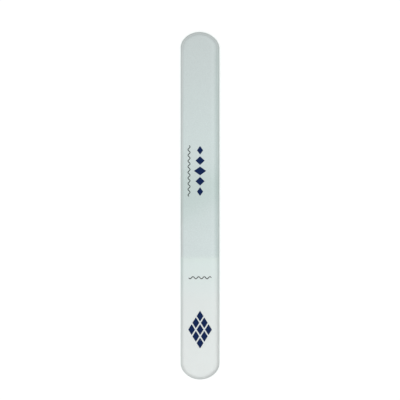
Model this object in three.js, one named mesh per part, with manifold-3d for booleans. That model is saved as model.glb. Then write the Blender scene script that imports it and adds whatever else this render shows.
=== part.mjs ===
// A glass nail file: one strip of toughened glass with an etched abrasive face on each side of its blade,
// and small printed ornaments on its front.
// Millimetres. The file lies on its back: the origin is on the table under its middle, +Y runs to the filing
// tip, +Z points out of the printed front, and +X is to the right of that front.

import * as THREE from "three";
import { mergeVertices } from "three/addons/utils/BufferGeometryUtils.js";
import Module from "manifold-3d";

// The glass
const LENGTH = 135; // from the butt of the handle to the tip
const WIDTH = 15.1;
const THICKNESS = 3;
const EDGE_LAND = 0.2; // flat left at mid height between the two rounded halves of the edge
const END_RISE = 5; // how far the arc at each end would stand out past square corners
const FACE_CORNER_RADIUS = 4; // corner of the flat face, where an end arc meets a side

// The etched faces
const HANDLE_LENGTH = 47; // smooth glass, from the butt to the start of the etching
const ETCH_DEPTH = 0.12; // how deep the abrasive structure goes into the glass

// The printed ornaments, placed by their distance from the butt
const INK_FILM = 0.04; // thickness of the ink
const LATTICE_FROM_BUTT = 19.5; // middle of the lattice of lozenges on the handle
const LATTICE_WIDTH = 9.8;
const LATTICE_HEIGHT = 15.7;
const LATTICE_SIDE = 3; // lozenges along each side of the lattice
const LATTICE_GAP = 0.5; // bare glass between neighbouring lozenges
const CHAIN_FROM_BUTT = 81; // middle of the row of lozenges on the blade
const CHAIN_PITCH = 4;
const CHAIN_GAP = 0.6; // bare glass between the points of neighbouring lozenges
const CHAIN_WIDTH = 4.8; // of the lozenge in the middle of the row
const CHAIN_END_WIDTH = 2.4; // of the lozenge at each end
const CHAIN_ARM = 2; // lozenges on each side of the middle one
const WAVE_STROKE = 0.32; // width of the wavy lines
const WAVE_SWING = 0.4; // how far a wavy line swings to each side
const WAVE_PITCH = 2.2; // length of one wave
const BLADE_WAVES = 9;
const HANDLE_WAVES = 4;
const HANDLE_WAVE_FROM_BUTT = 39.6; // the short wavy line that crosses the handle

// Fineness of the round surfaces
const EDGE_STEPS = 6; // steps over each quarter round of the edge
const ARC_STEP = THREE.MathUtils.degToRad(7.5); // along the arcs of the outline
const WAVE_STEPS = 12; // steps over one wave

// Sizes that follow from these
const halfWidth = WIDTH / 2;
const buttY = -LENGTH / 2;
const edgeRadius = (THICKNESS - EDGE_LAND) / 2;
const faceHalfWidth = halfWidth - edgeRadius;
const etchStartY = buttY + HANDLE_LENGTH;

const glass = () => new THREE.MeshStandardMaterial({ color: 0xdce4e1, roughness: 0.35, metalness: 0 });
const etchedGlass = () => new THREE.MeshStandardMaterial({ color: 0xccd8d6, roughness: 0.9, metalness: 0 });
const navyInk = () => new THREE.MeshStandardMaterial({ color: 0x16264f, roughness: 0.5, metalness: 0 });
const greyInk = () => new THREE.MeshStandardMaterial({ color: 0x6a7674, roughness: 0.5, metalness: 0 });

const wasm = await Module();
wasm.setup();

// A closed geometry as a solid that can be cut.
function solidOf(geometry) {
  const bare = geometry.clone();
  bare.deleteAttribute("normal");
  bare.deleteAttribute("uv");
  const merged = mergeVertices(bare);
  return new wasm.Manifold(
    new wasm.Mesh({
      numProp: 3,
      vertProperties: merged.attributes.position.array,
      triVerts: new Uint32Array(merged.index.array),
    }),
  );
}

// A cut solid as a geometry again.
function geometryOf(solid) {
  const { vertProperties, triVerts } = solid.getMesh();
  const geometry = new THREE.BufferGeometry();
  geometry.setAttribute("position", new THREE.BufferAttribute(vertProperties, 3));
  geometry.setIndex(new THREE.BufferAttribute(triVerts, 1));
  geometry.computeVertexNormals();
  return geometry;
}

function named(name, geometry, material) {
  const mesh = new THREE.Mesh(geometry, material);
  mesh.name = name;
  return mesh;
}

// Points of an arc, in an even number of steps of at most ARC_STEP.
function arcPoints(x, y, radius, from, to) {
  const steps = 2 * Math.max(1, Math.ceil((to - from) / (2 * ARC_STEP)));
  return new THREE.EllipseCurve(x, y, radius, radius, from, to).getPoints(steps);
}

// Outline of the flat face: straight sides, and at each end a low arc with a round at its two corners.
// The butt is drawn as the tip is, turned by half a turn.
function faceOutline() {
  const rise = Math.min(END_RISE, halfWidth); // an arc can't rise further than a half circle
  const corner = Math.min(FACE_CORNER_RADIUS, faceHalfWidth); // nor a corner be wider than half the face
  const radius = (halfWidth ** 2 + rise ** 2) / (2 * rise);
  const faceRadius = radius - edgeRadius;
  const arcY = LENGTH / 2 - radius;
  const cornerX = faceHalfWidth - corner;
  const cornerY = arcY + Math.sqrt((faceRadius - corner) ** 2 - cornerX ** 2);
  const meeting = Math.atan2(cornerY - arcY, cornerX); // direction in which the corner meets the arc
  const points = [];
  for (const turn of [0, Math.PI]) {
    const half = turn + Math.PI;
    const side = Math.cos(turn);
    points.push(
      ...arcPoints(side * cornerX, side * cornerY, corner, turn, turn + meeting),
      ...arcPoints(0, side * arcY, faceRadius, turn + meeting, half - meeting),
      ...arcPoints(-side * cornerX, side * cornerY, corner, half - meeting, half),
    );
  }
  return new THREE.Shape(points);
}

// The whole strip of glass, with its edge rounded from both faces, before the etching is told apart.
function groundStrip() {
  const strip = new THREE.ExtrudeGeometry(faceOutline(), {
    depth: EDGE_LAND,
    bevelThickness: edgeRadius,
    bevelSize: edgeRadius,
    bevelSegments: EDGE_STEPS,
  });
  return solidOf(strip.translate(0, 0, edgeRadius));
}

// The space that the etching takes at the face with this height: all of the strip past the handle.
function etchedSpace(faceZ) {
  const box = new THREE.BoxGeometry(2 * WIDTH, LENGTH, 2 * ETCH_DEPTH);
  return solidOf(box.translate(0, etchStartY + LENGTH / 2, faceZ));
}

function glassPieces() {
  const strip = groundStrip();
  const front = etchedSpace(THICKNESS);
  const back = etchedSpace(0);
  return [
    named("glass_blank", geometryOf(strip.subtract(front).subtract(back)), glass()),
    named("front_abrasive_face", geometryOf(strip.intersect(front)), etchedGlass()),
    named("back_abrasive_face", geometryOf(strip.intersect(back)), etchedGlass()),
  ];
}

// A flat film of ink on the front of the glass.
function inkFilm(name, shape, x, fromButt, material) {
  const film = new THREE.ExtrudeGeometry(shape, { depth: INK_FILM, bevelEnabled: false });
  const mesh = named(name, film, material);
  mesh.position.set(x, buttY + fromButt, THICKNESS);
  return mesh;
}

function lozenge(width, height) {
  const right = new THREE.Vector2(width / 2, 0);
  const top = new THREE.Vector2(0, height / 2);
  return new THREE.Shape([right, top, right.clone().negate(), top.clone().negate()]);
}

// A lattice of equal lozenges that fills one large lozenge, less the gaps between them.
function latticePieces() {
  const cellWidth = LATTICE_WIDTH / LATTICE_SIDE;
  const cellHeight = LATTICE_HEIGHT / LATTICE_SIDE;
  const acrossCell = (cellWidth * cellHeight) / Math.hypot(cellWidth, cellHeight); // between opposite sides
  const shrink = 1 - LATTICE_GAP / acrossCell;
  const pieces = [];
  for (let row = 0; row < LATTICE_SIDE; row++) {
    for (let column = 0; column < LATTICE_SIDE; column++) {
      const x = ((column - row) * cellWidth) / 2;
      const y = ((column + row + 1 - LATTICE_SIDE) * cellHeight) / 2;
      const shape = lozenge(cellWidth * shrink, cellHeight * shrink);
      const name = `handle_lozenge_${pieces.length + 1}`;
      pieces.push(inkFilm(name, shape, x, LATTICE_FROM_BUTT + y, navyInk()));
    }
  }
  return pieces;
}

// A row of lozenges along the blade, which change width evenly from the middle one to the ends.
function chainPieces() {
  const pieces = [];
  for (let place = -CHAIN_ARM; place <= CHAIN_ARM; place++) {
    const width = THREE.MathUtils.lerp(CHAIN_WIDTH, CHAIN_END_WIDTH, Math.abs(place) / CHAIN_ARM);
    const shape = lozenge(width, CHAIN_PITCH - CHAIN_GAP);
    const name = `blade_lozenge_${pieces.length + 1}`;
    pieces.push(inkFilm(name, shape, 0, CHAIN_FROM_BUTT + place * CHAIN_PITCH, navyInk()));
  }
  return pieces;
}

// A stroke of even width along a sine wave that runs in Y and is centred on the origin.
function waveStroke(waves) {
  const steps = waves * WAVE_STEPS;
  const turnPerLength = (2 * Math.PI) / WAVE_PITCH;
  const rightSide = [];
  const leftSide = [];
  for (let step = 0; step <= steps; step++) {
    const along = (step / steps - 0.5) * waves * WAVE_PITCH;
    const middle = new THREE.Vector2(WAVE_SWING * Math.sin(turnPerLength * along), along);
    const slope = WAVE_SWING * turnPerLength * Math.cos(turnPerLength * along);
    const outward = new THREE.Vector2(1, -slope).setLength(WAVE_STROKE / 2);
    rightSide.push(middle.clone().add(outward));
    leftSide.unshift(middle.clone().sub(outward));
  }
  return new THREE.Shape([...rightSide, ...leftSide]);
}

// A long wavy line beside the row of lozenges, in the middle of the flat margin that they leave.
function bladeWaveLine() {
  const chainHalfWidth = Math.max(CHAIN_WIDTH, CHAIN_END_WIDTH) / 2;
  const marginX = (faceHalfWidth + chainHalfWidth) / 2;
  return inkFilm("blade_wave_line", waveStroke(BLADE_WAVES), -marginX, CHAIN_FROM_BUTT, greyInk());
}

// A short wavy line across the handle.
function handleWaveLine() {
  const mesh = inkFilm("handle_wave_line", waveStroke(HANDLE_WAVES), 0, HANDLE_WAVE_FROM_BUTT, greyInk());
  mesh.rotation.z = Math.PI / 2;
  return mesh;
}

const nailFile = new THREE.Group();
nailFile.name = "glass_nail_file";
nailFile.add(...glassPieces(), ...latticePieces(), ...chainPieces(), bladeWaveLine(), handleWaveLine());

export default nailFile;
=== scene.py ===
from math import acos, atan2, ceil, copysign, cos, hypot, pi, radians, sin, sqrt

import bpy
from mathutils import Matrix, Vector, noise


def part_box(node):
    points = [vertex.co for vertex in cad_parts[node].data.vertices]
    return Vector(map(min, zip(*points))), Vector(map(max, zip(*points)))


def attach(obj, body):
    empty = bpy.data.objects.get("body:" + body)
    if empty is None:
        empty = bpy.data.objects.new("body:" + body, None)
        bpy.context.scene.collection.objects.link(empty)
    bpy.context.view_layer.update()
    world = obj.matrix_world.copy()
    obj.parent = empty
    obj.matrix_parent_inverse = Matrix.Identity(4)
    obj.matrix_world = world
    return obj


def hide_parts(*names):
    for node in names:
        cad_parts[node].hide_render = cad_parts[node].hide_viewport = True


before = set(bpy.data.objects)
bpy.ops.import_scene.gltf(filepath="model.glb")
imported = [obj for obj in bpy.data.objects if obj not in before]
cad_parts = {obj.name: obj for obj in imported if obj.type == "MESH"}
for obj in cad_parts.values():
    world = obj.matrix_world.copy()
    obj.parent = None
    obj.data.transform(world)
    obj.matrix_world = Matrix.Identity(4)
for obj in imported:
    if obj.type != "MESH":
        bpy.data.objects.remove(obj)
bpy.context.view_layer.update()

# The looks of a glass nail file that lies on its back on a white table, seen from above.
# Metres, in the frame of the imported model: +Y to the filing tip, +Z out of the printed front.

MM = 0.001

# Sizes of the glass that the frame's boxes don't give
EDGE_LAND = 0.2 * MM  # flat left at mid height between the two rounded halves of the edge
END_RISE = 5 * MM  # how far the arc at each end would stand out past square corners
FACE_CORNER_RADIUS = 4 * MM  # corner of the flat face, where an end arc meets a side

# What hand grinding leaves: an edge that wanders inwards, small flats on the round of the tip, and a tip
# whose crown lies a little to the left
EDGE_WANDER = 0.02 * MM
EDGE_WANDER_LENGTH = 4 * MM
TIP_FLAT_DEPTH = 0.06 * MM
TIP_FLAT_LENGTH = 1 * MM
TIP_FLAT_REACH = 6 * MM
TIP_LEAN = 0.25 * MM

# The ink, apart from what the frame's boxes give
LOZENGE_CORNER = 0.12 * MM  # radius of a lozenge's corners
INK_SHOULDER = 0.05 * MM  # width of the soft edge of a film
WAVE_STROKE = 0.32 * MM
WAVE_SWING = 0.4 * MM  # how far a wavy line swings to each side
WAVE_PITCH = 2.2 * MM  # length of one wave

# Fineness of the meshes
ARC_STEP = radians(2)  # along the arcs of the outline
SIDE_STEP = 0.75 * MM  # along the straight sides
EDGE_STEP = radians(6)  # over the rounded edge
BORDER_RINGS = 4  # round the border of a flat face
BORDER_STEP = 0.3 * MM  # width of one such ring
FACE_COLUMNS = 20  # over the middle of a flat face
FILM_STEPS = 3  # up the soft edge of a film
LOZENGE_CORNER_STEPS = 3  # on each side of the middle of a lozenge's corner
WAVE_STEPS = 40  # along one wave
CAP_STEPS = 4  # over half of a stroke's round end
SHARP_ANGLE = radians(40)  # faces that meet at more than this keep a crisp corner
WELD_DIGITS = 5  # decimals of a millimetre in which points of one vertex agree


def border(width, fade, taken):
    """A border of painted shade as one vector, so that two of them can be blended."""
    return Vector((width, fade, *taken))


# Painted shade round the border of the glass, darker on the right side where less light falls: its width,
# how it fades (1 is evenly, and more is faster near the outline), and the shares of red, green and blue
# that it takes away at the outline
BUTT_LEFT_BORDER = border(2.0 * MM, fade=1.1, taken=(0.12, 0.13, 0.125))
BUTT_RIGHT_BORDER = border(2.2 * MM, fade=1.3, taken=(0.23, 0.235, 0.23))
HANDLE_LEFT_BORDER = border(2.0 * MM, fade=0.6, taken=(0.01, 0.015, 0.015))
HANDLE_RIGHT_BORDER = border(2.1 * MM, fade=0.7, taken=(0.065, 0.07, 0.07))
BLADE_LEFT_BORDER = border(1.3 * MM, fade=0.8, taken=(0.28, 0.285, 0.28))
BLADE_RIGHT_BORDER = border(2.3 * MM, fade=1, taken=(0.325, 0.265, 0.28))
TIP_BORDER = border(1.9 * MM, fade=1.2, taken=(0.33, 0.33, 0.325))

# The upright middle of the edge, where light gathers in the glass, and the colour it is multiplied by
WALL_REACH = 0.22 * MM
WALL_TINT = Vector((0.82, 0.955, 0.915))

# Painted light: the face is painted paler to the right, as the light falls, and a painted highlight line
# runs beside the right border of the blade and fades out along the handle
PAINTED_LIGHT_SLANT = 0.014
PAINTED_HIGHLIGHT = 0.033
PAINTED_HIGHLIGHT_WIDTH = 0.8 * MM

# A painted dark reflection, a soft darker band across the blade: where it starts and ends, from the start
# of the etching, how far it fades past these, how its lower side slopes, and the shares of red, green and
# blue that it takes away
BAND_START = 25 * MM
BAND_END = 28 * MM
BAND_FADE = 11.5 * MM
BAND_SLOPE = 0.5
BAND_TAKES = (0.1, 0.07, 0.085)

# The surface of the glass: broad clouds in its tone and gloss, and scratches along the ground border
GLASS_IOR = 1.5
CLOUD_SIZE = 9 * MM
CLOUD_TONE = 0.015
CLOUD_ROUGHNESS = 0.04
GRAIN_DETAIL = 4
GRAIN_DEPTH = 1 / 4  # of the size of the grain
SCRATCH_WIDTH = 0.12 * MM
SCRATCH_STRETCH = 60  # how many times as long as wide a scratch is
SCRATCHES_ONLY = 0.5  # from this share of the border on, scratches take the place of the grain

# The surface of the ink
INK_PATCH_SIZE = 0.5 * MM
INK_PATCH_ROUGHNESS = 0.06
INK_GRAIN_SIZE = 0.06 * MM
INK_GRAIN_DEPTH = 0.01 * MM
INK_RELIEF = 0.3
INK_SPECULAR = 0.03

# Values between which a noise mostly lies
NOISE_LOW = 0.3
NOISE_HIGH = 0.7

# The photograph's frame: where the file lies in it, in pixels
PHOTO_SIDE = 400
FILE_LENGTH_PX = 347.5
FILE_MIDDLE_PX = (200.06, 205.74)
LENS_MM = 150
SENSOR_MM = 36

# The table: a diffuse white whose glow is weak round the file and brings the rest up to the sky's white
TABLE_REACH = 6.0
TABLE_Z = -0.03 * MM  # just under the file, so that the two don't share a face
TABLE_COLOUR = (0.8, 0.8, 0.8, 1)
NEAR_GLOW = 0.2
FAR_GLOW = 0.9
NEAR_DISTANCE = 0.15  # up to here the glow is weak
FAR_DISTANCE = 1.0  # from here on it is full

# The light: a soft lamp, and a sky that gives less light than it shows
LAMP_SIZE = 1.2
LAMP_WATTS = 13.5
LAMP_PLACE = Vector((-0.05, -0.1, 1.35))
SKY_LIGHT = 0.48
SKY_SEEN = 1.0

# Sizes that follow
HALF_WIDTH, HALF_LENGTH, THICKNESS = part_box("glass_blank")[1]
ETCH_START, ETCH_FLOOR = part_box("front_abrasive_face")[0].yz
ETCH_DEPTH = THICKNESS - ETCH_FLOOR
EDGE_RADIUS = (THICKNESS - EDGE_LAND) / 2
END_RADIUS = (HALF_WIDTH ** 2 + END_RISE ** 2) / (2 * END_RISE)
END_Y = HALF_LENGTH - END_RADIUS
CORNER_RADIUS = EDGE_RADIUS + FACE_CORNER_RADIUS
CORNER_X = HALF_WIDTH - CORNER_RADIUS
CORNER_Y = END_Y + sqrt((END_RADIUS - CORNER_RADIUS) ** 2 - CORNER_X ** 2)
CORNER_TURN = atan2(CORNER_Y - END_Y, CORNER_X)

# Where one border turns into the next, along the file
BUTT_TO_HANDLE = (-CORNER_Y - 3 * MM, -CORNER_Y + 1 * MM)
HANDLE_TO_BLADE = (ETCH_START, ETCH_START + 0.5 * MM)
BLADE_TO_TIP = (CORNER_Y - 3 * MM, CORNER_Y + 2 * MM)

# The tones of the glass: (height along the file, colour) from the butt to the tip. The satin handle is
# paler than the etched blade in its own colour; the tone that darkens from the butt towards the tip is
# painted shade
SATIN_TONES = [
    (-HALF_LENGTH, (0.651, 0.681, 0.671)),
    (ETCH_START - 17 * MM, (0.622, 0.66, 0.65)),
    (ETCH_START - 12 * MM, (0.605, 0.659, 0.648)),
    (ETCH_START - 1.6 * MM, (0.581, 0.658, 0.641)),
    (ETCH_START, (0.577, 0.657, 0.632)),
    (ETCH_START + 0.5 * MM, (0.694, 0.745, 0.736)),
]
ETCHED_TONES = [
    (ETCH_START, (0.589, 0.666, 0.646)),
    (ETCH_START + 1.6 * MM, (0.563, 0.635, 0.63)),
    (ETCH_START + 8 * MM, (0.563, 0.635, 0.63)),
    (ETCH_START + 15 * MM, (0.543, 0.619, 0.611)),
    (HALF_LENGTH - 40 * MM, (0.545, 0.621, 0.613)),
    (HALF_LENGTH, (0.497, 0.552, 0.547)),
]


# Outline of the glass

def share_between(value, start, end):
    """How far a value has come from start to end, from 0 to 1."""
    return min(1, max(0, (value - start) / (end - start)))


def arc(x, y, radius, start, end):
    """Points of an arc with their outward directions."""
    steps = max(1, ceil(abs(end - start) / ARC_STEP))
    angles = [start + (end - start) * i / steps for i in range(steps + 1)]
    return [(x + radius * cos(a), y + radius * sin(a), cos(a), sin(a)) for a in angles]


def side(x, start, end):
    """Points of the straight right side with their outward directions."""
    steps = ceil((end - start) / SIDE_STEP)
    return [(x, start + (end - start) * i / steps, 1, 0) for i in range(steps + 1)]


def half_outline(part, inset):
    """The right half of the outline of the handle or the blade, towards the tip, moved in by inset."""
    x = HALF_WIDTH - inset
    if part == "handle":
        return (
            arc(0, -END_Y, END_RADIUS - inset, -pi / 2, -CORNER_TURN)[:-1]
            + arc(CORNER_X, -CORNER_Y, CORNER_RADIUS - inset, -CORNER_TURN, 0)[:-1]
            + side(x, -CORNER_Y, ETCH_START)
        )
    return (
        side(x, ETCH_START, CORNER_Y)[:-1]
        + arc(CORNER_X, CORNER_Y, CORNER_RADIUS - inset, 0, CORNER_TURN)[:-1]
        + arc(0, END_Y, END_RADIUS - inset, CORNER_TURN, pi / 2)
    )


def edge_place(x, y):
    """How far a point lies inside the outline, and how far along it from the middle of a side."""
    across, up = abs(x), abs(y)
    if up < CORNER_Y:
        return HALF_WIDTH - across, y
    turn = atan2(up - END_Y, across)
    if turn < CORNER_TURN:
        inside = CORNER_RADIUS - hypot(across - CORNER_X, up - CORNER_Y)
        along = CORNER_Y + CORNER_RADIUS * atan2(up - CORNER_Y, across - CORNER_X)
    else:
        inside = END_RADIUS - hypot(across, up - END_Y)
        along = CORNER_Y + CORNER_RADIUS * CORNER_TURN + END_RADIUS * (turn - CORNER_TURN)
    return inside, copysign(along, y)


def lean_at(y):
    """How far the tip leans to the left at a height along the file."""
    return TIP_LEAN * share_between(y, CORNER_Y, HALF_LENGTH)


def ground(x, y, z, out_x, out_y, inset):
    """A point of the rounded edge as hand grinding leaves it."""
    outwards = max(0, 1 - inset / EDGE_RADIUS)
    place = Vector((x, y, z))
    wander = 0.5 + 0.5 * noise.noise(place / EDGE_WANDER_LENGTH)
    flat = max(0, noise.noise(place / TIP_FLAT_LENGTH))
    near_tip = max(0, 1 - (HALF_LENGTH - y) / TIP_FLAT_REACH)
    on_round = 4 * outwards * (1 - outwards)  # 1 half way over the round, 0 at the outline and at the face
    move = outwards * EDGE_WANDER * wander + on_round * TIP_FLAT_DEPTH * flat * near_tip
    return (x - out_x * move, y - out_y * move, z)


def edge_points(part, inset, z):
    return [ground(x, y, z, out_x, out_y, inset) for x, y, out_x, out_y in half_outline(part, inset)]


def mirrored(points):
    return [(-x, y, z) for x, y, z in points]


def edge_stations():
    """(inset, height) up the rounded edge, in three stretches that share their ends: beside the back
    etching, on the bare glass, and beside the front etching."""
    etch_angle = acos(1 - ETCH_DEPTH / EDGE_RADIUS)
    etch_steps = ceil(etch_angle / EDGE_STEP)
    bare_steps = ceil((pi / 2 - etch_angle) / EDGE_STEP)
    angles = [etch_angle * i / etch_steps for i in range(etch_steps)]
    angles += [etch_angle + (pi / 2 - etch_angle) * i / bare_steps for i in range(bare_steps + 1)]
    lower = [(EDGE_RADIUS * (1 - sin(a)), EDGE_RADIUS * (1 - cos(a))) for a in angles]
    upper = [(inset, THICKNESS - z) for inset, z in reversed(lower)]
    bare = lower[etch_steps:] + upper[:bare_steps + 1]
    return lower[:etch_steps + 1], bare, upper[bare_steps:]


# Painted light and shade of the glass

def border_at(x, y):
    """The border of painted shade near a point."""
    right = share_between(x, -HALF_WIDTH / 2, HALF_WIDTH / 2)
    butt = BUTT_LEFT_BORDER.lerp(BUTT_RIGHT_BORDER, right)
    handle = HANDLE_LEFT_BORDER.lerp(HANDLE_RIGHT_BORDER, right)
    blade = BLADE_LEFT_BORDER.lerp(BLADE_RIGHT_BORDER, right)
    behind_blade = butt.lerp(handle, share_between(y, *BUTT_TO_HANDLE))
    behind_tip = behind_blade.lerp(blade, share_between(y, *HANDLE_TO_BLADE))
    return behind_tip.lerp(TIP_BORDER, share_between(y, *BLADE_TO_TIP))


def painted_reflection_at(x, y):
    """How much a point belongs to the painted dark reflection across the blade, with soft limits."""
    along = y - ETCH_START
    lower_side = share_between(along - BAND_SLOPE * x, BAND_START - BAND_FADE, BAND_START)
    tip_side = 1 - share_between(along, BAND_END, BAND_END + BAND_FADE)
    share = min(lower_side, tip_side)
    return share * share * (3 - 2 * share)


def painted_highlight_at(x, y, past_border):
    """How much paler the painted highlight line makes a point that lies this far inside the border."""
    off_line = share_between(abs(past_border - PAINTED_HIGHLIGHT_WIDTH / 2), 0, PAINTED_HIGHLIGHT_WIDTH)
    to_right = share_between(x, 0, HALF_WIDTH / 2)
    up_handle = share_between(y, -CORNER_Y, ETCH_START)
    return PAINTED_HIGHLIGHT * (1 - off_line) * to_right * up_handle


def shade_at(x, y):
    """The colour that the glass is multiplied by at a point, which paints shade, highlight and reflection,
    and the point's share of the border.
    """
    width, fade, *taken = border_at(x, y)
    inside = edge_place(x, y)[0]
    # painted shade at the border of the glass
    share = (1 - share_between(inside, 0, width)) ** fade
    # painted light: paler to the right, and a painted highlight line beside the right border
    paler = 1 + PAINTED_LIGHT_SLANT * x / HALF_WIDTH + painted_highlight_at(x, y, inside - width)
    # painted dark reflection across the blade
    band = painted_reflection_at(x, y)
    colour = Vector([paler * (1 - share * a) * (1 - band * b) for a, b in zip(taken, BAND_TAKES)])
    on_wall = 1 - share_between(inside, 0, WALL_REACH)
    return [*colour.lerp(WALL_TINT, on_wall), share]


# Meshes

class Builder:
    """Collects the points and faces of one mesh. Points in one place become one vertex."""

    def __init__(self):
        self.points = []
        self.index = {}
        self.faces = []

    def vertex(self, point):
        key = tuple(round(c / MM, WELD_DIGITS) for c in point)
        if key not in self.index:
            self.index[key] = len(self.points)
            self.points.append(point)
        return self.index[key]

    def face(self, points):
        corners = list(dict.fromkeys(self.vertex(point) for point in points))
        if len(corners) > 2:
            self.faces.append(corners)

    def strip(self, lower, upper):
        """Faces between two rows of points. They face out of a wall whose rows run to the right."""
        for i in range(len(lower) - 1):
            self.face([lower[i], lower[i + 1], upper[i + 1], upper[i]])

    def piece(self, name, material, slot, node_name):
        """The finished mesh, smooth but for its sharp corners, in the place of a node of the frame."""
        mesh = bpy.data.meshes.new(name)
        mesh.from_pydata([(x - lean_at(y), y, z) for x, y, z in self.points], [], self.faces)
        mesh.materials.append(material)
        mesh.shade_smooth()
        mesh.set_sharp_from_angle(angle=SHARP_ANGLE)
        made = bpy.data.objects.new(name, mesh)
        bpy.context.scene.collection.objects.link(made)
        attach(made, "root")
        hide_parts(node_name)
        return made


def note_edge(piece):
    """Stores at each vertex its painted light and shade, and its place along the outline, inside it and up
    from the back.
    """
    mesh = piece.data
    shade = mesh.attributes.new("shade", "FLOAT_COLOR", "POINT")
    flow = mesh.attributes.new("flow", "FLOAT_VECTOR", "POINT")
    for vertex in mesh.vertices:
        x, y, z = vertex.co
        x += lean_at(y)
        inside, along = edge_place(x, y)
        shade.data[vertex.index].color = shade_at(x, y)
        flow.data[vertex.index].vector = (along, inside, z)


def round_path(part, inset, z):
    """The edge of the handle or blade, anticlockwise from one side of the file to the other."""
    right = edge_points(part, inset, z)
    if part == "handle":
        return mirrored(right)[::-1] + right[1:]
    return right + mirrored(right)[::-1][1:]


def rounded_edge(builder, part, stations):
    """The outside of the edge of the handle or blade, up these stations."""
    for lower, upper in zip(stations, stations[1:]):
        builder.strip(round_path(part, *lower), round_path(part, *upper))


def face_insets(inset):
    return [inset + BORDER_STEP * i for i in range(BORDER_RINGS + 1)]


def across(x, y, z):
    """A row of points over the file, from left to right."""
    return [(x * (2 * i / FACE_COLUMNS - 1), y, z) for i in range(FACE_COLUMNS + 1)]


def flat_face(builder, part, inset, z, facing_up):
    """The flat face of the handle or blade: rings along its border, and rows over its middle."""
    insets = face_insets(inset)
    paths = [round_path(part, i, z) for i in insets]
    rows = [across(*point) for point in edge_points(part, insets[-1], z)]
    for outer, inner in zip(paths, paths[1:]):
        builder.strip(*((outer, inner) if facing_up else (inner, outer)))
    for near, far in zip(rows, rows[1:]):
        builder.strip(*((near, far) if facing_up else (far, near)))


def etch_line(inset, z):
    """The points of a flat face on the line where the etching starts, from left to right."""
    right_end = [edge_points("blade", i, z)[0] for i in face_insets(inset)]
    return mirrored(right_end)[:-1] + across(*right_end[-1]) + right_end[::-1][1:]


def etch_wall(builder, stations, facing_butt):
    """The low wall at the start of the etching, from the lowest of these stations to the highest."""
    ends = [edge_points("blade", inset, z)[0] for inset, z in stations]
    lower, upper = etch_line(*stations[0]), etch_line(*stations[-1])
    if facing_butt:
        builder.strip(lower, upper)
        builder.face(ends)
        builder.face(mirrored(ends)[::-1])
    else:
        builder.strip(upper, lower)
        builder.face(ends[::-1])
        builder.face(mirrored(ends))


def glass_strip(material):
    """The strip of glass, with a shallow step on each side where the etched layers lie."""
    builder = Builder()
    back, bare, front = edge_stations()
    whole = back[:-1] + bare + front[1:]
    rounded_edge(builder, "handle", whole)
    rounded_edge(builder, "blade", bare)
    flat_face(builder, "handle", *whole[0], facing_up=False)
    flat_face(builder, "handle", *whole[-1], facing_up=True)
    flat_face(builder, "blade", *bare[0], facing_up=False)
    flat_face(builder, "blade", *bare[-1], facing_up=True)
    etch_wall(builder, back, facing_butt=False)
    etch_wall(builder, front, facing_butt=False)
    note_edge(builder.piece("glass_strip", material, "satin_glass", "glass_blank"))


def etched_layer(name, stations, material, node_name):
    """One abrasive face: a thin layer of the blade, up these stations of the edge."""
    builder = Builder()
    rounded_edge(builder, "blade", stations)
    flat_face(builder, "blade", *stations[0], facing_up=False)
    flat_face(builder, "blade", *stations[-1], facing_up=True)
    etch_wall(builder, stations, facing_butt=True)
    note_edge(builder.piece(name, material, "etched_glass", node_name))


def both_etched_layers(material):
    back, _, front = edge_stations()
    etched_layer("front_etching", front, material, "front_abrasive_face")
    etched_layer("back_etching", back, material, "back_abrasive_face")


# Ink

def film_profile(low, high):
    """(inset, height) up the soft edge of an ink film."""
    angles = [pi / 2 * i / FILM_STEPS for i in range(FILM_STEPS + 1)]
    return [(INK_SHOULDER * (1 - cos(a)), low + (high - low) * sin(a)) for a in angles]


def lozenge_outline(half_width, half_height, inset):
    """A lozenge with round corners, moved in by inset: arcs about the corners of a smaller lozenge."""
    to_side = half_width * half_height / hypot(half_width, half_height)
    shrink = 1 - LOZENGE_CORNER / to_side
    side_turn = atan2(half_width, half_height)
    reach = LOZENGE_CORNER - inset
    points = []
    for quarter in range(4):
        turn = quarter * pi / 2
        spread = side_turn if quarter % 2 == 0 else pi / 2 - side_turn
        middle_x = half_width * shrink * cos(turn)
        middle_y = half_height * shrink * sin(turn)
        for step in range(-LOZENGE_CORNER_STEPS, LOZENGE_CORNER_STEPS + 1):
            angle = turn + spread * step / LOZENGE_CORNER_STEPS
            points.append((middle_x + reach * cos(angle), middle_y + reach * sin(angle)))
    return points + points[:1]


def lozenge(node_name, material):
    low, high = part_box(node_name)
    middle, half = (low + high) / 2, (high - low) / 2
    builder = Builder()
    rows = []
    for inset, z in film_profile(low.z, high.z):
        outline = lozenge_outline(half.x, half.y, inset)
        rows.append([(middle.x + x, middle.y + y, z) for x, y in outline])
    for lower, upper in zip(rows, rows[1:]):
        builder.strip(lower, upper)
    builder.face(rows[-1])
    builder.face(rows[0][::-1])
    builder.piece(f"{node_name}_film", material, "navy_ink", node_name)


def stroke_line(waves):
    """(place along the wave, half width) of a stroke with round ends, from one end to the other."""
    half_stroke = WAVE_STROKE / 2
    half_length = waves * WAVE_PITCH / 2 - half_stroke
    steps = waves * WAVE_STEPS
    turns = [pi / 2 * i / CAP_STEPS for i in range(1, CAP_STEPS + 1)]
    last_cap = [(half_length + half_stroke * sin(a), half_stroke * cos(a)) for a in turns]
    first_cap = [(-along, width) for along, width in reversed(last_cap)]
    between = [(half_length * (2 * i / steps - 1), half_stroke) for i in range(steps + 1)]
    return first_cap + between + last_cap


def beside_wave(along, offset):
    """The point at a distance to the right of the wave, as (across, along) its middle line."""
    turn = 2 * pi / WAVE_PITCH
    slope = WAVE_SWING * turn * cos(turn * along)
    length = hypot(1, slope)
    return WAVE_SWING * sin(turn * along) + offset / length, along - offset * slope / length


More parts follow.
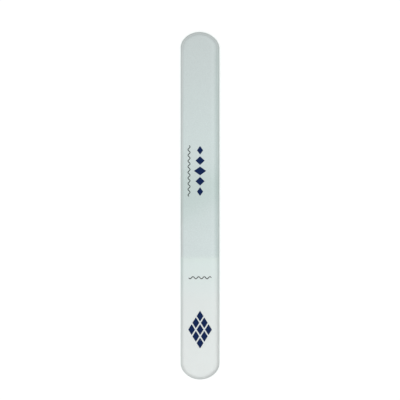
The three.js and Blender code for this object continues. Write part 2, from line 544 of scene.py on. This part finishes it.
def wave_line(node_name, material):
    """A wavy stroke along the longer side of its node's box."""
    low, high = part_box(node_name)
    middle, size = (low + high) / 2, high - low
    across_file = size.x > size.y
    waves = round(max(size.x, size.y) / WAVE_PITCH)
    right_half = [(1 - 2 * inset / WAVE_STROKE, z) for inset, z in film_profile(low.z, high.z)]
    section = right_half + [(-share, z) for share, z in reversed(right_half)] + right_half[:1]
    builder = Builder()
    rows = []
    for along, half_width in stroke_line(waves):
        row = []
        for share, z in section:
            sideways, forward = beside_wave(along, share * half_width)
            x, y = (-forward, sideways) if across_file else (sideways, forward)
            row.append((middle.x + x, middle.y + y, z))
        rows.append(row)
    for near, far in zip(rows, rows[1:]):
        builder.strip(far, near)
    builder.piece(f"{node_name}_film", material, "grey_ink", node_name)


# Materials

def new_material(name):
    made = bpy.data.materials.new(name)
    made.use_nodes = True
    made.node_tree.nodes.clear()
    return made, made.node_tree


def node(tree, kind, *inputs, **settings):
    """A new node's outputs. Inputs are values or sockets in order; settings name inputs or properties."""
    made = tree.nodes.new(kind)
    given = []
    for key, value in settings.items():
        socket = next((s for s in made.inputs if s.name.lower().replace(" ", "_") == key), None)
        if socket is None:
            setattr(made, key, value)
        else:
            given.append((socket, value))
    given += zip([s for s in made.inputs if s.enabled], inputs)
    for socket, value in given:
        if isinstance(value, bpy.types.NodeSocket):
            tree.links.new(value, socket)
        else:
            socket.default_value = value
    return made.outputs


def noise_of(tree, size, where=None, stretch=(1, 1, 1), detail=3):
    """Noise with features of this size, over the object or along another vector."""
    where = where or node(tree, "ShaderNodeTexCoord")["Object"]
    scale = [1 / (size * s) for s in stretch]
    scaled = node(tree, "ShaderNodeMapping", vector=where, scale=scale)[0]
    return node(tree, "ShaderNodeTexNoise", vector=scaled, scale=1, detail=detail)[0]


def ranged(tree, value, low, high, to_low, to_high):
    """A value moved from one range to another, and held to it."""
    return node(tree, "ShaderNodeMapRange", value, low, high, to_low, to_high)[0]


def varied(tree, noise_value, middle, spread):
    """A number that a noise moves about a middle."""
    return ranged(tree, noise_value, NOISE_LOW, NOISE_HIGH, middle - spread, middle + spread)


def times(tree, colour, factor):
    return node(tree, "ShaderNodeVectorMath", vector=colour, scale=factor, operation="SCALE")[0]


def mixed(tree, factor, first, second, **settings):
    """Two numbers mixed, or two colours where data_type is "RGBA"."""
    return node(tree, "ShaderNodeMix", factor, first, second, **settings)["Result"]


def tone_along(tree, stops):
    """A colour that changes along the file, from (height along Y, colour) stops in order from the butt."""
    where = node(tree, "ShaderNodeTexCoord")["Object"]
    y = node(tree, "ShaderNodeSeparateXYZ", where)["Y"]
    ramp = tree.nodes.new("ShaderNodeValToRGB")
    tree.links.new(ranged(tree, y, -HALF_LENGTH, HALF_LENGTH, 0, 1), ramp.inputs[0])
    elements = ramp.color_ramp.elements
    elements.remove(elements[-1])
    for index, (height, colour) in enumerate(stops):
        place = (height + HALF_LENGTH) / (2 * HALF_LENGTH)
        element = elements[0] if index == 0 else elements.new(place)
        element.position = place
        element.color = (*colour, 1)
    return ramp.outputs[0]


def frosted_glass(name, tones, grain, speckle, relief, rough, transmission, let_through):
    """Frosted glass: its tone changes along the file and darkens at the border, with painted shade,
    highlight and reflection. Lamp light passes it.
    """
    made, tree = new_material(name)
    shade = node(tree, "ShaderNodeAttribute", attribute_name="shade")
    flow = node(tree, "ShaderNodeAttribute", attribute_name="flow")["Vector"]
    clouds = noise_of(tree, CLOUD_SIZE)
    fine = noise_of(tree, grain, detail=GRAIN_DETAIL)
    scratches = noise_of(tree, SCRATCH_WIDTH, flow, stretch=(SCRATCH_STRETCH, 1, 1))
    # tone along the file, partly painted shade that darkens towards the tip
    tone = tone_along(tree, tones)
    tone = times(tree, tone, varied(tree, clouds, 1, CLOUD_TONE))
    tone = times(tree, tone, varied(tree, fine, 1, speckle))
    tone = mixed(tree, 1, tone, shade["Color"], data_type="RGBA", blend_type="MULTIPLY")
    on_border = ranged(tree, shade["Alpha"], 0, SCRATCHES_ONLY, 0, 1)
    height = mixed(tree, on_border, fine, scratches)
    bump = node(tree, "ShaderNodeBump", height=height, strength=relief, distance=grain * GRAIN_DEPTH)[0]
    shader = node(
        tree,
        "ShaderNodeBsdfPrincipled",
        base_color=tone,
        roughness=varied(tree, clouds, rough, CLOUD_ROUGHNESS),
        ior=GLASS_IOR,
        transmission_weight=transmission,
        normal=bump,
    )[0]
    clear = node(tree, "ShaderNodeBsdfTransparent", (*let_through, 1))[0]
    from_lamp = node(tree, "ShaderNodeLightPath")["Is Shadow Ray"]
    both = node(tree, "ShaderNodeMixShader", from_lamp, shader, clear)[0]
    node(tree, "ShaderNodeOutputMaterial", both)
    return made


def satin_glass():
    """The smooth handle and the ground edge."""
    return frosted_glass(
        "satin_glass",
        SATIN_TONES,
        grain=0.08 * MM,
        speckle=0.02,
        relief=0.15,
        rough=0.36,
        transmission=0.15,
        let_through=(0.8, 0.86, 0.84),
    )


def etched_glass():
    """The abrasive faces of the blade."""
    return frosted_glass(
        "etched_glass",
        ETCHED_TONES,
        grain=0.14 * MM,
        speckle=0.1,
        relief=0.8,
        rough=0.7,
        transmission=0,
        let_through=(0.77, 0.81, 0.8),
    )


def ink(name, dark, light, rough):
    """Fired ink: dense and slightly uneven, with a soft gloss."""
    made, tree = new_material(name)
    patches = noise_of(tree, INK_PATCH_SIZE)
    grain = noise_of(tree, INK_GRAIN_SIZE)
    bump = node(tree, "ShaderNodeBump", height=grain, strength=INK_RELIEF, distance=INK_GRAIN_DEPTH)[0]
    shader = node(
        tree,
        "ShaderNodeBsdfPrincipled",
        base_color=mixed(tree, patches, (*dark, 1), (*light, 1), data_type="RGBA"),
        roughness=varied(tree, patches, rough, INK_PATCH_ROUGHNESS),
        specular_ior_level=INK_SPECULAR,
        normal=bump,
    )[0]
    node(tree, "ShaderNodeOutputMaterial", shader)
    return made


def navy_ink():
    return ink("navy_ink", dark=(0.002, 0.01, 0.053), light=(0.005, 0.02, 0.086), rough=0.45)


def grey_ink():
    return ink("grey_ink", dark=(0.014, 0.018, 0.018), light=(0.03, 0.038, 0.037), rough=0.5)


# The set

def larger(tree, first, second):
    return node(tree, "ShaderNodeMath", first, second, operation="MAXIMUM")[0]


def seen(tree):
    """1 for the rays that the camera, gloss or glass sends, and 0 for those that carry light."""
    path = node(tree, "ShaderNodeLightPath")
    mirrored_or_bent = larger(tree, path["Is Glossy Ray"], path["Is Transmission Ray"])
    return larger(tree, path["Is Camera Ray"], mirrored_or_bent)


def table_white():
    """A diffuse white that keeps the file's soft shadow, and farther off glows as white as the sky."""
    made, tree = new_material("table_white")
    where = node(tree, "ShaderNodeTexCoord")["Object"]
    distance = node(tree, "ShaderNodeVectorMath", where, operation="LENGTH")["Value"]
    glow = ranged(tree, distance, NEAR_DISTANCE, FAR_DISTANCE, NEAR_GLOW, FAR_GLOW)
    strength = node(tree, "ShaderNodeMath", seen(tree), glow, operation="MULTIPLY")[0]
    light = node(tree, "ShaderNodeEmission", strength=strength)[0]
    plain = node(tree, "ShaderNodeBsdfDiffuse", TABLE_COLOUR)[0]
    node(tree, "ShaderNodeOutputMaterial", node(tree, "ShaderNodeAddShader", plain, light)[0])
    return made


def table():
    mesh = bpy.data.meshes.new("table")
    signs = [(-1, -1), (1, -1), (1, 1), (-1, 1)]
    corners = [(TABLE_REACH * x, TABLE_REACH * y, TABLE_Z) for x, y in signs]
    mesh.from_pydata(corners, [], [(0, 1, 2, 3)])
    mesh.materials.append(table_white())
    made = bpy.data.objects.new("table", mesh)
    bpy.context.scene.collection.objects.link(made)


def softbox():
    """One large soft lamp over the file, a little to the left and towards the handle."""
    lamp = bpy.data.lights.new("softbox", "AREA")
    lamp.shape = "SQUARE"
    lamp.size = LAMP_SIZE
    lamp.energy = LAMP_WATTS
    made = bpy.data.objects.new("softbox", lamp)
    made.location = LAMP_PLACE
    made.rotation_euler = (-LAMP_PLACE).to_track_quat("-Z", "Y").to_euler()
    bpy.context.scene.collection.objects.link(made)


def white_sky():
    """An even sky that looks white."""
    world = bpy.data.worlds.new("sky")
    world.use_nodes = True
    tree = world.node_tree
    tree.nodes.clear()
    strength = ranged(tree, seen(tree), 0, 1, SKY_LIGHT, SKY_SEEN)
    sky = node(tree, "ShaderNodeBackground", (1, 1, 1, 1), strength)[0]
    node(tree, "ShaderNodeOutputWorld", sky)
    bpy.context.scene.world = world


def photo_camera():
    """Straight down on the file, framed as in the photograph."""
    pixel = 2 * HALF_LENGTH / FILE_LENGTH_PX
    distance = PHOTO_SIDE * pixel * LENS_MM / SENSOR_MM
    data = bpy.data.cameras.new("camera")
    data.lens = LENS_MM
    data.sensor_width = SENSOR_MM
    camera = bpy.data.objects.new("camera", data)
    aside = (PHOTO_SIDE / 2 - FILE_MIDDLE_PX[0]) * pixel
    ahead = (FILE_MIDDLE_PX[1] - PHOTO_SIDE / 2) * pixel
    camera.location = (aside, ahead, THICKNESS / 2 + distance)
    bpy.context.scene.collection.objects.link(camera)
    bpy.context.scene.camera = camera


photo_camera()
table()
softbox()
white_sky()
bpy.context.scene.view_settings.view_transform = "Standard"

glass_strip(satin_glass())
both_etched_layers(etched_glass())
navy = navy_ink()
for name in sorted(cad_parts):
    if "lozenge" in name:
        lozenge(name, navy)
grey = grey_ink()
wave_line("blade_wave_line", grey)
wave_line("handle_wave_line", grey)
